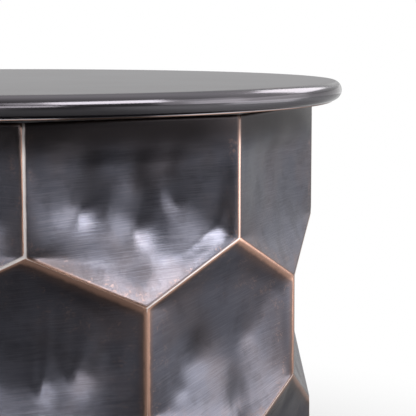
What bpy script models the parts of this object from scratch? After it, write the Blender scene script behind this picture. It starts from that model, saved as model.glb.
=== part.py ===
"""Round storage coffee table: a honeycomb drum of dished sheet-metal facets under a lift-off lid.

Units are metres and +Z is up. The origin is on the floor, in the middle of the footprint.
The drum has ten facets around in three staggered rows. Every ridge corner lies on one cylinder, so the
ridges are straight chords and each facet is dished between them.
"""

import math

import bpy
from mathutils import Vector

# Overall sizes
TABLE_HEIGHT = 0.457
DRUM_RADIUS = 0.351
LID_OVERHANG = 0.030
FACETS_AROUND = 10

# Facet rows, told from the middle row outwards
MIDDLE_EDGE = 0.098
SLANT_RISE = 0.0515
SHEET = 0.0016
DISH_DEPTH = 0.002
FOLD_SOFTNESS = 0.030
RIDGE_ROUND_WIDTH = 0.0025
RIDGE_ROUND_DROP = 0.0004
SEAM_GAP = 0.0003
WELD_MARGIN = 0.004

# Lid
CORE_THICKNESS = 0.018
SKIN_WALL = 0.0012
BULLNOSE_DEPTH = 0.009
LIP_BEARING = 0.012
SHADOW_GAP = 0.003

# Hoops and floor
HOOP_HEIGHT = 0.022
HOOP_WALL = 0.004
BASE_LEG = 0.025
BASE_FLANGE = 0.030
BASE_WALL = 0.003
FLOOR_THICKNESS = 0.009
FLOOR_PLAY = 0.001

# Glides
SIDES_PER_GLIDE = 2
GLIDE_HEIGHT = 0.005
GLIDE_RADIUS = 0.013
GLIDE_EDGE = 0.001
PEG_RADIUS = 0.004

# Battens under the lid, and their screws
SIDES_PER_BATTEN = 2
BATTEN_LENGTH = 0.110
BATTEN_WIDTH = 0.022
BATTEN_DEPTH = 0.015
BATTEN_PLAY = 0.003
SCREW_END_MARGIN = 0.020
SCREW_RADIUS = 0.002
SCREW_HEAD_RADIUS = 0.004
SCREW_BITE = 0.010
SCREW_TIP = 0.003
HOLE_OPENING = 0.002

# Clearance between pieces that touch
FIT_GAP = 0.0003

# Mesh resolution and shading
SIDE_STEPS = 3
OUTER_RINGS = (0.64, 0.32)
INNER_RINGS = (0.55,)
LID_STEPS = 72
BULLNOSE_STEPS = 8
SMALL_STEPS = 14
SHARP_ANGLE = math.radians(40)

# Worked-out sizes
HALF_TURN = math.pi / FACETS_AROUND
FACET_TURN = 2 * HALF_TURN
FACET_APOTHEM = DRUM_RADIUS * math.cos(HALF_TURN)
FACET_HALF_WIDTH = DRUM_RADIUS * math.sin(HALF_TURN)
FOLD_SLOPE = (DRUM_RADIUS - FACET_APOTHEM) / SLANT_RISE

LID_FLAT_RADIUS = DRUM_RADIUS + LID_OVERHANG - BULLNOSE_DEPTH
CORE_TOP = TABLE_HEIGHT - SKIN_WALL - FIT_GAP
CORE_BOTTOM = CORE_TOP - CORE_THICKNESS
LIP_TOP = CORE_BOTTOM - FIT_GAP
LIP_BOTTOM = LIP_TOP - SKIN_WALL

WALL_TOP = LIP_BOTTOM - SHADOW_GAP
WALL_BOTTOM = GLIDE_HEIGHT
WALL_MIDDLE = (WALL_TOP + WALL_BOTTOM) / 2
MIDDLE_TOP = WALL_MIDDLE + MIDDLE_EDGE / 2
MIDDLE_BOTTOM = WALL_MIDDLE - MIDDLE_EDGE / 2
UPPER_RING = MIDDLE_TOP + SLANT_RISE
LOWER_RING = MIDDLE_BOTTOM - SLANT_RISE

HOOP_OUTER = FACET_APOTHEM - SHEET - FIT_GAP
HOOP_TOP = LIP_BOTTOM - FIT_GAP
HOOP_INNER = HOOP_OUTER - HOOP_WALL
FLANGE_TOP = WALL_BOTTOM + BASE_WALL
BATTEN_MIDDLE = HOOP_INNER - BATTEN_PLAY - BATTEN_WIDTH / 2
BATTEN_TOP = CORE_BOTTOM - FIT_GAP
BATTEN_BOTTOM = BATTEN_TOP - BATTEN_DEPTH


# Scene helpers

def clear_scene():
    """Remove every object of the open file."""
    for item in list(bpy.data.objects):
        bpy.data.objects.remove(item, do_unlink=True)


def new_collection(name):
    """Make a collection in the scene."""
    made = bpy.data.collections.new(name)
    bpy.context.scene.collection.children.link(made)
    return made


def new_material(name, colour, roughness, metallic):
    """Make a Principled material."""
    made = bpy.data.materials.new(name)
    made.use_nodes = True
    shader = made.node_tree.nodes["Principled BSDF"]
    shader.inputs["Base Color"].default_value = (*colour, 1.0)
    shader.inputs["Roughness"].default_value = roughness
    shader.inputs["Metallic"].default_value = metallic
    return made


def new_object(name, vertices, edges, faces, material, collection):
    """Make a mesh object from its points and their links."""
    mesh = bpy.data.meshes.new(name)
    mesh.from_pydata(vertices, edges, faces)
    mesh.materials.append(material)
    made = bpy.data.objects.new(name, mesh)
    collection.objects.link(made)
    return made


def new_empty(name, location, collection):
    """Make an empty that carries the pieces of one body."""
    made = bpy.data.objects.new(name, None)
    made.location = location
    collection.objects.link(made)
    return made


def carry(parent, child):
    """Parent a piece without moving it."""
    bpy.context.view_layer.update()
    child.parent = parent
    child.matrix_parent_inverse = parent.matrix_world.inverted()


def turned(name, profile, steps, material, collection, closed=False):
    """Turn a profile of (radius, height) points about Z. A ten-step turn gives a ten-sided hoop."""
    points = [(radius, 0.0, height) for radius, height in profile]
    links = [(i, i + 1) for i in range(len(points) - 1)]
    if closed:
        links.append((len(points) - 1, 0))
    made = new_object(name, points, links, [], material, collection)
    screw = made.modifiers.new("turn", "SCREW")
    screw.axis = "Z"
    screw.angle = 2 * math.pi
    screw.steps = steps
    screw.render_steps = steps
    screw.use_merge_vertices = True
    screw.merge_threshold = 0.00001
    return made


def cut(piece, cutter):
    """Cut one piece with another shape."""
    boolean = piece.modifiers.new("cut " + cutter.name, "BOOLEAN")
    boolean.operation = "DIFFERENCE"
    boolean.solver = "EXACT"
    boolean.object = cutter


def as_cutter(piece):
    """Mark a shape as a cutter, which is no piece of the table."""
    piece.hide_render = True
    piece.display_type = "WIRE"
    return piece


# Honeycomb facets

def inset(corners, distances):
    """Move each side of an anticlockwise convex outline inwards and return the corners where they now meet."""
    count = len(corners)
    sides = []
    for i in range(count):
        along = (corners[(i + 1) % count] - corners[i]).normalized()
        inwards = Vector((-along.y, along.x))
        sides.append((corners[i] + inwards * distances[i], along))
    met = []
    for i in range(count):
        start, along = sides[i - 1]
        other_start, other_along = sides[i]
        reach = (other_start - start).cross(other_along) / along.cross(other_along)
        met.append(start + along * reach)
    return met


def split_sides(corners):
    """Split every side of an outline into equal steps."""
    points = []
    for i, corner in enumerate(corners):
        following = corners[(i + 1) % len(corners)]
        points += [corner.lerp(following, k / SIDE_STEPS) for k in range(SIDE_STEPS)]
    return points


def soft_ramp(x, softness):
    """Zero below 0 and x above it, with the corner rounded by a parabola as wide as the softness."""
    half = softness / 2
    if x <= -half:
        return 0.0
    if x >= half:
        return x
    return (x + half) ** 2 / (2 * softness)


def towards_axis(point, distance):
    """Move a point level towards the drum's axis."""
    level = Vector((point.x, point.y, 0.0))
    return point - level.normalized() * distance


def facet_point(across, height, share, folds):
    """Point of a facet's outer face. The share is 0 at its centre and 1 at its rim.

    The face is upright between its folds and leans out past each fold, so that its rim runs straight from
    ridge corner to ridge corner. The fold is crisp at the rim and soft inside, and the middle is dished.
    """
    softness = FOLD_SOFTNESS * (1 - share)
    past_folds = sum(soft_ramp(side * (height - fold), softness) for fold, side in folds)
    dish = DISH_DEPTH * (1 - share ** 2) ** 2
    return Vector((FACET_APOTHEM + FOLD_SLOPE * past_folds - dish, across, height))


def facet_panel(name, corners, bands, folds, material, collection):
    """Loft one sheet panel: from its dished centre out to the rounded rim, round it, and back along the inside.

    The corners are (across, height) points of the outline. The bands say how far the flat margin reaches in
    from each side before the dish starts. Side walls point at the axis, so neighbours meet in a mitre.
    """
    edge = split_sides(inset(corners, [SEAM_GAP / 2] * len(corners)))
    rim = split_sides(inset(corners, [SEAM_GAP / 2 + RIDGE_ROUND_WIDTH] * len(corners)))
    dish_edge = split_sides(inset(corners, bands))
    centre = sum(dish_edge, Vector((0.0, 0.0))) / len(dish_edge)

    def ring(outline, share, inwards):
        shrunk = [centre.lerp(point, share) for point in outline]
        return [towards_axis(facet_point(p.x, p.y, share, folds), inwards) for p in shrunk]

    rings = [ring(dish_edge, share, 0.0) for share in reversed(OUTER_RINGS)]
    rings.append(ring(dish_edge, 1.0, 0.0))
    rings.append(ring(rim, 1.0, 0.0))
    rings.append(ring(edge, 1.0, RIDGE_ROUND_DROP))
    rings.append(ring(edge, 1.0, SHEET))
    rings.append(ring(dish_edge, 1.0, SHEET))
    rings += [ring(dish_edge, share, SHEET) for share in INNER_RINGS]

    front = facet_point(centre.x, centre.y, 0.0, folds)
    back = towards_axis(front, SHEET)
    return loft(name, front, rings, back, material, collection)


def loft(name, start, rings, finish, material, collection):
    """Join rings of equal count with faces and close both ends with a fan to a point."""
    count = len(rings[0])
    vertices = [start] + [point for ring in rings for point in ring] + [finish]
    first = [[1 + row * count + i for i in range(count)] for row in range(len(rings))]
    faces = []
    for i in range(count):
        following = (i + 1) % count
        faces.append((0, first[0][i], first[0][following]))
        for inner, outer in zip(first, first[1:]):
            faces.append((inner[i], outer[i], outer[following], inner[following]))
        faces.append((len(vertices) - 1, first[-1][following], first[-1][i]))
    return new_object(name, vertices, [], faces, material, collection)


def corner_list(*pairs):
    """Outline corners as vectors."""
    return [Vector(pair) for pair in pairs]


def make_drum_wall(material, collection):
    """The three staggered rows of panels. The outer rows point into the middle one."""
    wide = FACET_HALF_WIDTH
    slim = SEAM_GAP / 2 + 2 * RIDGE_ROUND_WIDTH
    upper_corners = corner_list(
        (-wide, WALL_TOP), (-wide, UPPER_RING), (0, MIDDLE_TOP), (wide, UPPER_RING), (wide, WALL_TOP))
    upper_bands = [slim, slim, slim, slim, HOOP_HEIGHT + WELD_MARGIN]
    middle_corners = corner_list(
        (-wide, MIDDLE_TOP), (-wide, MIDDLE_BOTTOM), (0, LOWER_RING),
        (wide, MIDDLE_BOTTOM), (wide, MIDDLE_TOP), (0, UPPER_RING))
    middle_bands = [slim] * len(middle_corners)
    lower_corners = corner_list(
        (wide, WALL_BOTTOM), (wide, LOWER_RING), (0, MIDDLE_BOTTOM), (-wide, LOWER_RING), (-wide, WALL_BOTTOM))
    lower_bands = [slim, slim, slim, slim, BASE_LEG + WELD_MARGIN]
    rows = (
        ("upper_panel", upper_corners, upper_bands, [(UPPER_RING, -1)], 0.0),
        ("middle_panel", middle_corners, middle_bands, [(MIDDLE_TOP, 1), (MIDDLE_BOTTOM, -1)], HALF_TURN),
        ("lower_panel", lower_corners, lower_bands, [(LOWER_RING, 1)], 0.0),
    )
    panels = []
    for row_name, corners, bands, folds, first_turn in rows:
        for number in range(FACETS_AROUND):
            name = f"{row_name}_{number + 1:02d}"
            panel = facet_panel(name, corners, bands, folds, material, collection)
            panel.rotation_euler.z = first_turn + number * FACET_TURN
            panels.append(panel)
    return panels


# Hoops, floor and glides

def corner_radius(apothem):
    """Distance from the axis to the corners of a facet-sided ring, from that to its flat sides."""
    return apothem / math.cos(HALF_TURN)


def hoop(name, profile, material, collection):
    """Turn a closed profile, told as (apothem, height), into a ring with one flat side per facet."""
    cornered = [(corner_radius(apothem), height) for apothem, height in profile]
    made = turned(name, cornered, FACETS_AROUND, material, collection, closed=True)
    made.rotation_euler.z = HALF_TURN
    return made


def make_hoops(material, collection):
    """Flat-bar hoop in the mouth, and angle hoop with an inward flange at the base."""
    flat_bar = [
        (HOOP_OUTER, HOOP_TOP), (HOOP_OUTER, HOOP_TOP - HOOP_HEIGHT),
        (HOOP_INNER, HOOP_TOP - HOOP_HEIGHT), (HOOP_INNER, HOOP_TOP)]
    leg_inner = HOOP_OUTER - BASE_WALL
    angle_bar = [
        (HOOP_OUTER, WALL_BOTTOM + BASE_LEG), (HOOP_OUTER, WALL_BOTTOM),
        (HOOP_OUTER - BASE_FLANGE, WALL_BOTTOM), (HOOP_OUTER - BASE_FLANGE, FLANGE_TOP),
        (leg_inner, FLANGE_TOP), (leg_inner, WALL_BOTTOM + BASE_LEG)]
    top_hoop = hoop("top_hoop", flat_bar, material, collection)
    base_hoop = hoop("base_hoop", angle_bar, material, collection)
    return top_hoop, base_hoop


def make_floor(material, collection):
    """Board with one side per facet, laid on the flange of the base hoop."""
    bottom = FLANGE_TOP + FIT_GAP
    reach = corner_radius(HOOP_OUTER - BASE_WALL - FLOOR_PLAY)
    profile = [(0.0, bottom + FLOOR_THICKNESS), (reach, bottom + FLOOR_THICKNESS), (reach, bottom), (0.0, bottom)]
    floor = turned("floor_board", profile, FACETS_AROUND, material, collection)
    floor.rotation_euler.z = HALF_TURN
    return floor


def glide_profile():
    """Turned shape of a glide: a peg above a wide head with an eased lower edge."""
    head_top = WALL_BOTTOM - FIT_GAP
    peg_top = FLANGE_TOP - FIT_GAP
    return [(0.0, peg_top), (PEG_RADIUS, peg_top), (PEG_RADIUS, head_top), (GLIDE_RADIUS, head_top),
            (GLIDE_RADIUS, GLIDE_EDGE), (GLIDE_RADIUS - GLIDE_EDGE, 0.0), (0.0, 0.0)]


def peg_hole_profile():
    """Cutter that goes right through the flange, a fit wider than the peg."""
    wide = PEG_RADIUS + FIT_GAP
    above = FLANGE_TOP + BASE_WALL
    return [(0.0, above), (wide, above), (wide, 0.0), (0.0, 0.0)]


def make_glides(base_hoop, material, collection, cutters):
    """Push-in glides under the flange, each with its peg in a hole of the base hoop."""
    leg_inner = HOOP_OUTER - BASE_WALL
    distance = (leg_inner + HOOP_OUTER - BASE_FLANGE) / 2
    glides = []
    for number in range(FACETS_AROUND // SIDES_PER_GLIDE):
        turn = number * SIDES_PER_GLIDE * FACET_TURN
        place = (distance * math.cos(turn), distance * math.sin(turn), 0.0)
        glide = turned(f"glide_{number + 1}", glide_profile(), SMALL_STEPS, material, collection)
        glide.location = place
        hole = turned(f"peg_hole_{number + 1}", peg_hole_profile(), SMALL_STEPS, material, cutters)
        hole.location = place
        cut(base_hoop, as_cutter(hole))
        glides.append(glide)
    return glides


# Lid

def half_round(flat_radius, depth, top, bottom):
    """Points of a half-round edge, from the top face over the widest point to the underside."""
    middle = (top + bottom) / 2
    half_height = (top - bottom) / 2
    angles = [math.pi / 2 - math.pi * i / BULLNOSE_STEPS for i in range(BULLNOSE_STEPS + 1)]
    return [(flat_radius + depth * math.cos(a), middle + half_height * math.sin(a)) for a in angles]


def make_lid_skin(material, collection):
    """Sheet pan: flat top, half-round edge, and a lip turned in under the core as far as the hoop's corners."""
    outside = half_round(LID_FLAT_RADIUS, BULLNOSE_DEPTH, TABLE_HEIGHT, CORE_BOTTOM)
    inside = half_round(LID_FLAT_RADIUS, BULLNOSE_DEPTH - SKIN_WALL, CORE_TOP + FIT_GAP, CORE_BOTTOM + SKIN_WALL)
    lip_reach = corner_radius(HOOP_OUTER) - LIP_BEARING
    lip = [(LID_FLAT_RADIUS, LIP_BOTTOM), (lip_reach, LIP_BOTTOM), (lip_reach, LIP_TOP),
           (LID_FLAT_RADIUS - SKIN_WALL, LIP_TOP)]
    profile = [(0.0, TABLE_HEIGHT)] + outside + lip + inside[::-1] + [(0.0, CORE_TOP + FIT_GAP)]
    return turned("lid_skin", profile, LID_STEPS, material, collection)


def make_lid_core(material, collection):
    """Board that fills the skin and shows from below inside the lip."""
    rounded = half_round(
        LID_FLAT_RADIUS, BULLNOSE_DEPTH - SKIN_WALL - FIT_GAP, CORE_TOP, CORE_BOTTOM + SKIN_WALL + FIT_GAP)
    under_edge = (LID_FLAT_RADIUS - SKIN_WALL - FIT_GAP, CORE_BOTTOM)
    profile = [(0.0, CORE_TOP)] + rounded + [under_edge, (0.0, CORE_BOTTOM)]
    return turned("lid_core", profile, LID_STEPS, material, collection)


def screw_profile(growth):
    """Turned shape of a countersunk screw, head down. Growth makes the hole that it sits in."""
    head = SCREW_HEAD_RADIUS + growth
    shank = SCREW_RADIUS + growth
    bottom = BATTEN_BOTTOM + FIT_GAP - growth
    cone_top = bottom + head - shank
    tip = CORE_BOTTOM + SCREW_BITE + growth
    return [(0.0, tip), (shank, tip - SCREW_TIP), (shank, cone_top), (head, bottom), (0.0, bottom)]


def screw_hole_profile():
    """Cutter for a screw's hole, which opens past the underside of the batten."""
    hole = screw_profile(FIT_GAP)
    head, bottom = hole[-2]
    below = bottom - HOLE_OPENING
    return hole[:-1] + [(head, below), (0.0, below)]


def make_batten(name, screw_spacing, material, collection):
    """Straight hardwood batten, in blocks along its length so that each screw hole has a square of its own."""
    half_spacing, half_width = screw_spacing / 2, BATTEN_WIDTH / 2
    near_end = [BATTEN_LENGTH / 2, half_spacing + half_width, half_spacing - half_width]
    stations = [-y for y in near_end] + near_end[::-1]
    section = [(-half_width, -BATTEN_DEPTH / 2), (half_width, -BATTEN_DEPTH / 2),
               (half_width, BATTEN_DEPTH / 2), (-half_width, BATTEN_DEPTH / 2)]
    vertices = [(x, y, z) for y in stations for x, z in section]
    last = len(vertices) - 4
    faces = [(0, 1, 2, 3), (last + 3, last + 2, last + 1, last)]
    for start in range(0, last, 4):
        for corner in range(4):
            following = (corner + 1) % 4
            faces.append((start + corner, start + 4 + corner, start + 4 + following, start + following))
    return new_object(name, vertices, [], faces, material, collection)


def make_battens(lid_core, wood, steel, collection, cutters):
    """Battens that centre the lid in the mouth, each held by two screws from below."""
    made = []
    screw_spacing = BATTEN_LENGTH - 2 * SCREW_END_MARGIN
    for number in range(FACETS_AROUND // SIDES_PER_BATTEN):
        turn = number * SIDES_PER_BATTEN * FACET_TURN
        outwards = Vector((math.cos(turn), math.sin(turn), 0.0))
        along = Vector((-math.sin(turn), math.cos(turn), 0.0))
        middle = outwards * BATTEN_MIDDLE
        height = Vector((0.0, 0.0, (BATTEN_TOP + BATTEN_BOTTOM) / 2))
        batten = make_batten(f"lid_batten_{number + 1}", screw_spacing, wood, collection)
        batten.location = middle + height
        batten.rotation_euler.z = turn
        made.append(batten)
        for end in (0, 1):
            place = middle + along * screw_spacing * (end - 0.5)
            count = f"{2 * number + end + 1:02d}"
            screw = turned(f"batten_screw_{count}", screw_profile(0.0), SMALL_STEPS, steel, collection)
            screw.location = place
            hole = turned(f"screw_hole_{count}", screw_hole_profile(), SMALL_STEPS, steel, cutters)
            hole.location = place
            cut(batten, as_cutter(hole))
            cut(lid_core, hole)
            made.append(screw)
    return made


def shade_round(piece):
    """Smooth shading across shallow angles only."""
    piece.data.shade_smooth()
    piece.data.set_sharp_from_angle(angle=SHARP_ANGLE)


def main():
    clear_scene()
    table = new_collection("storage_coffee_table")
    cutters = new_collection("cutters")

    patina = new_material("patinated metal", (0.14, 0.11, 0.10), 0.38, 1.0)
    lid_metal = new_material("satin lid metal", (0.30, 0.27, 0.26), 0.30, 1.0)
    iron = new_material("black iron", (0.05, 0.05, 0.05), 0.55, 1.0)
    board = new_material("fibreboard", (0.36, 0.24, 0.15), 0.80, 0.0)
    hardwood = new_material("hardwood", (0.42, 0.27, 0.14), 0.60, 0.0)
    nylon = new_material("nylon", (0.03, 0.03, 0.03), 0.50, 0.0)
    steel = new_material("zinc steel", (0.55, 0.54, 0.52), 0.35, 1.0)

    drum_axis = new_empty("drum_axis", (0.0, 0.0, 0.0), table)
    lid_axis = new_empty("lid_axis", (0.0, 0.0, CORE_BOTTOM), table)

    drum_pieces = make_drum_wall(patina, table)
    top_hoop, base_hoop = make_hoops(iron, table)
    drum_pieces += [top_hoop, base_hoop, make_floor(board, table)]
    drum_pieces += make_glides(base_hoop, nylon, table, cutters)

    lid_core = make_lid_core(board, table)
    lid_pieces = [make_lid_skin(lid_metal, table), lid_core]
    lid_pieces += make_battens(lid_core, hardwood, steel, table, cutters)

    for piece in drum_pieces:
        carry(drum_axis, piece)
    for piece in lid_pieces:
        carry(lid_axis, piece)
    for piece in drum_pieces + lid_pieces:
        shade_round(piece)


main()
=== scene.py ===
# %% [markdown]
# # A round storage coffee table in hammered, patinated metal
#
# The table is a drum with a lid. The drum wall is a honeycomb of dished metal facets in three rows, and
# the lid is a board wrapped in sheet metal with a half-round edge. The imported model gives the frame:
# every piece made here sits on one of its bodies, in metres, with +Z up. This lesson makes the finely
# shaped surfaces and the finishes, one piece at a time.

# %% Load the frame
import math

import bpy
import numpy as np
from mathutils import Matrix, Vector


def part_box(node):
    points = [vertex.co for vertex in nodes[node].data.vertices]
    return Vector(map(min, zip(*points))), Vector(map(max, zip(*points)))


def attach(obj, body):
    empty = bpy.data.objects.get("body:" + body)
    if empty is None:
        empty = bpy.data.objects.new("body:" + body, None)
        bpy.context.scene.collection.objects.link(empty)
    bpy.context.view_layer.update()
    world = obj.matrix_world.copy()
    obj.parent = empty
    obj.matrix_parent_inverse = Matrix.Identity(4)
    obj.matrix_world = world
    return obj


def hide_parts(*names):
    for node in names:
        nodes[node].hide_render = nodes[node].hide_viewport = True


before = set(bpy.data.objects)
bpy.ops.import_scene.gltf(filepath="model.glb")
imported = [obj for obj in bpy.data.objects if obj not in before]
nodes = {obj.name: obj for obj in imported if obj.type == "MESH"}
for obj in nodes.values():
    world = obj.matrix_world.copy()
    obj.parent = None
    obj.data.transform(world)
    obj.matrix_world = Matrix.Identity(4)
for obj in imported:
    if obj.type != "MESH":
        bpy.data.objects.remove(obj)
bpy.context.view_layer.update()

# %% [markdown]
# ## Camera
#
# The photograph is a close view of the upper right part of the drum. Its camera stands a little above the
# lid, to the left of a ridge of the top row, and is aimed to the right of the drum's axis. A camera can
# be placed by hand until the picture looks right, but straight ridges and a round lid give enough known
# points to solve for it. The values below are that solution: an unshifted camera aimed at the middle of
# the frame.

# %% Place the camera
TABLE_HEIGHT = 0.457
CAMERA_DISTANCE = 1.5746
CAMERA_ABOVE_LID = 0.0548
CAMERA_TURN = math.radians(-5.688)
AIM_RIGHT = math.radians(8.818)
AIM_DOWN = math.radians(7.022)
IMAGE_WIDTH = 416
FOCAL_PIXELS = 1470.8
SENSOR_MM = 36.0


def towards(turn, rise=0.0):
    """Unit vector: the turn is counted from the front (-Y) to the right (+X), the rise from the level."""
    level = math.cos(rise)
    return Vector((math.sin(turn) * level, -math.cos(turn) * level, math.sin(rise)))


camera_data = bpy.data.cameras.new("photo_camera")
camera_data.sensor_width = SENSOR_MM
camera_data.lens = FOCAL_PIXELS / IMAGE_WIDTH * SENSOR_MM
camera = bpy.data.objects.new("photo_camera", camera_data)
camera.location = towards(CAMERA_TURN) * CAMERA_DISTANCE + Vector((0, 0, TABLE_HEIGHT + CAMERA_ABOVE_LID))
aim = towards(CAMERA_TURN + math.pi - AIM_RIGHT, -AIM_DOWN)
camera.rotation_euler = aim.to_track_quat("-Z", "Y").to_euler()
bpy.context.scene.collection.objects.link(camera)
bpy.context.scene.camera = camera
print("camera at", tuple(round(v, 3) for v in camera.location), "lens", round(camera_data.lens, 1), "mm")

# %% [markdown]
# ## Shader maths as Python
#
# A finish is a network of nodes. Wiring it by hand takes many lines, so two small classes do it. `Signal`
# wraps a socket and turns Python arithmetic into Math nodes, and `Finish` owns a material's tree and adds
# any other node through one method.

# %% Signals
class Signal:
    """A node socket that takes part in arithmetic. Every operation adds one Math node."""

    def __init__(self, finish, socket):
        self.finish = finish
        self.socket = socket

    def math(self, operation, first, second):
        """A Math node between two values."""
        return self.finish.node("Math", {"operation": operation}, {0: first, 1: second})

    def __add__(self, other):
        return self.math("ADD", self, other)

    def __sub__(self, other):
        return self.math("SUBTRACT", self, other)

    def __rsub__(self, other):
        return self.math("SUBTRACT", other, self)

    def __mul__(self, other):
        return self.math("MULTIPLY", self, other)

    __radd__ = __add__
    __rmul__ = __mul__

    def at_least(self, other):
        """The greater of two values."""
        return self.math("MAXIMUM", self, other)

    def step(self, low, high):
        """0 below low, 1 above high and a smooth step between. With low above high the step goes down."""
        return self.finish.node(
            "MapRange", {"interpolation_type": "SMOOTHSTEP"},
            {"Value": self, "From Min": low, "From Max": high, "To Min": 0.0, "To Max": 1.0})


print("signals take +, -, *, at_least and step")

# %% [markdown]
# `Finish` works on a material and on the world alike. Its methods are named for what they give: a blend
# of two colours, a noise, the place on the object, a vector that the mesh carries, or a bumped normal.

# %% Finishes
class Finish:
    """A node tree, of a material or of the world, that is built from Python values."""

    def __init__(self, owner):
        self.owner = owner
        owner.use_nodes = True
        self.tree = owner.node_tree

    def feed(self, socket, value):
        """Link a signal to a socket, or set the socket to a plain value."""
        if isinstance(value, Signal):
            self.tree.links.new(value.socket, socket)
        else:
            socket.default_value = value

    def node(self, kind, settings=None, inputs=None, output=0):
        """Add a node: its settings first, then the values or links of its sockets."""
        made = self.tree.nodes.new("ShaderNode" + kind)
        for name, value in (settings or {}).items():
            setattr(made, name, value)
        for name, value in (inputs or {}).items():
            self.feed(made.inputs[name], value)
        return Signal(self, made.outputs[output])

    def blend(self, factor, first, second):
        """Mix two colours."""
        return self.node("Mix", {"data_type": "RGBA"}, {0: factor, 6: first, 7: second}, 2)

    def scaled(self, vector, factors):
        """Multiply a vector by three factors."""
        return self.node("VectorMath", {"operation": "MULTIPLY"}, {0: vector, 1: factors})

    def along(self, vector, direction):
        """How far a vector reaches along a direction."""
        return self.node("VectorMath", {"operation": "DOT_PRODUCT"}, {0: vector, 1: direction}, "Value")

    def noise(self, vector, scale, detail=2.0, roughness=0.5, distortion=0.0):
        """Smooth noise around 0.5."""
        return self.node("TexNoise", {}, {
            "Vector": vector, "Scale": scale, "Detail": detail, "Roughness": roughness,
            "Distortion": distortion})

    def parts(self, vector):
        """The three numbers of a vector."""
        split = self.node("SeparateXYZ", {}, {0: vector})
        return [Signal(self, socket) for socket in split.socket.node.outputs]

    def place(self):
        """Object coordinates, which are the model's own metres here."""
        return self.node("TexCoord", {}, {}, "Object")

    def attribute(self, name):
        """A vector that the mesh carries at its points."""
        return self.node("Attribute", {"attribute_name": name}, {}, "Vector")

    def bump(self, height, distance, normal=None):
        """Normal of a surface raised by height times distance."""
        inputs = {"Height": height, "Distance": distance}
        if normal is not None:
            inputs["Normal"] = normal
        return self.node("Bump", {}, inputs)

    def ray_kinds(self):
        """Two switches: 1 for what the camera sees, and 1 for what metal or glass shows."""
        by_camera = self.node("LightPath", {}, {}, "Is Camera Ray")
        by_gloss = self.node("LightPath", {}, {}, "Is Glossy Ray")
        by_glass = self.node("LightPath", {}, {}, "Is Transmission Ray")
        return by_camera, by_gloss.at_least(by_glass)


def new_finish(name, constants):
    """A material whose Principled shader starts from constants, given by the names of its sockets."""
    finish = Finish(bpy.data.materials.new(name))
    finish.shader = finish.tree.nodes["Principled BSDF"]
    for socket, value in constants.items():
        finish.shader.inputs[socket].default_value = value
    return finish


def colour(red, green, blue):
    """A colour with full alpha."""
    return (red, green, blue, 1.0)


def grey(level):
    """A colour without hue."""
    return colour(level, level, level)


print("finishes add nodes by name and start from a Principled shader")

# %% [markdown]
# ## Lamps
#
# Satin metal shows its surroundings, so the light is most of its look. A key box stands to the right of
# the camera with a weaker spill beside it, a side box to the right of the table, a fill box on the left
# and a box behind. Low white boards between them give the facets their soft tones. A lamp is told by the
# direction that it is seen in from the table, the angles that it covers and how bright its face is,
# because those are what its reflection in a facet shows.

# %% Lamps
KEY_LEVEL = 8.4
KEY_SHARE = 0.75
SIDE_LEVEL = 8.0
SIDE_BOARD_SHARE = 0.1
FRONT_LEVEL = 3.6
CORNER_LEVEL = 1.25
RIGHT_LEVEL = 1.4
FILL_LEVEL = 2.2
DAYLIGHT = (1.0, 0.99, 0.99)
LAMP_DISTANCE = 2.2
LOW_BOARD_DISTANCE = 1.25
TABLE_MIDDLE = Vector((0.0, 0.0, 0.25))


def soft_box(name, turn, rise, wide, tall, level, distance=LAMP_DISTANCE):
    """Area lamp, seen from the table at a turn right of the camera and a rise, all angles in degrees."""
    data = bpy.data.lights.new(name, "AREA")
    data.shape = "RECTANGLE"
    data.size = 2 * distance * math.tan(math.radians(wide / 2))
    data.size_y = 2 * distance * math.tan(math.radians(tall / 2))
    data.energy = level * math.pi * data.size * data.size_y
    data.color = DAYLIGHT
    direction = towards(CAMERA_TURN + math.radians(turn), math.radians(rise))
    lamp = bpy.data.objects.new(name, data)
    lamp.location = TABLE_MIDDLE + direction * distance
    lamp.rotation_euler = direction.to_track_quat("Z", "Y").to_euler()
    lamp.visible_camera = False
    bpy.context.scene.collection.objects.link(lamp)


# Name, turn, rise, angle across, angle up, level
soft_box("key_box", 35, 27, 30, 18, KEY_LEVEL * KEY_SHARE)
soft_box("key_spill", 29, 27, 42, 18, KEY_LEVEL * (1 - KEY_SHARE))
soft_box("side_box", 121, 31, 24, 22, SIDE_LEVEL)
soft_box("front_board", 6, 7.5, 28, 11, FRONT_LEVEL)
soft_box("corner_board", 63, 13, 30, 30, CORNER_LEVEL)
soft_box("right_board", 84, 7, 52, 21, RIGHT_LEVEL)
soft_box("low_board", 83, -2.5, 30, 13, RIGHT_LEVEL, LOW_BOARD_DISTANCE)
soft_box("side_board", 130, 5, 40, 9, SIDE_LEVEL * SIDE_BOARD_SHARE)
soft_box("fill_box", -40, 18, 44, 24, FILL_LEVEL)
soft_box("rear_box", 228, 28, 46, 16, KEY_LEVEL)
soft_box("rear_board", 240, 9, 60, 14, RIGHT_LEVEL)

# %% [markdown]
# ## Surround
#
# A product photograph has a white cove behind the object and a dim room behind the camera. The world
# gives both: it is bright behind the table and dark in front of it. The camera always sees it white, and
# metal sees it in full, but only a share of it lights plain surfaces, so that colours render about as
# they are written. The Standard view keeps them so in the picture.

# %% Surround
ROOM_LEVEL = 0.10
BACK_LEVEL = 0.73
HIGH_LEVEL = 0.70
CEILING_LEVEL = 0.2
WORLD_SHARE = 0.25
COVE_RISE = (0.04, 0.20)
CEILING_RISE = (0.3, 0.9)
ROOM_TO_COVE = (-0.95, 0.45)
BEHIND = towards(CAMERA_TURN + math.pi)

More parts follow.
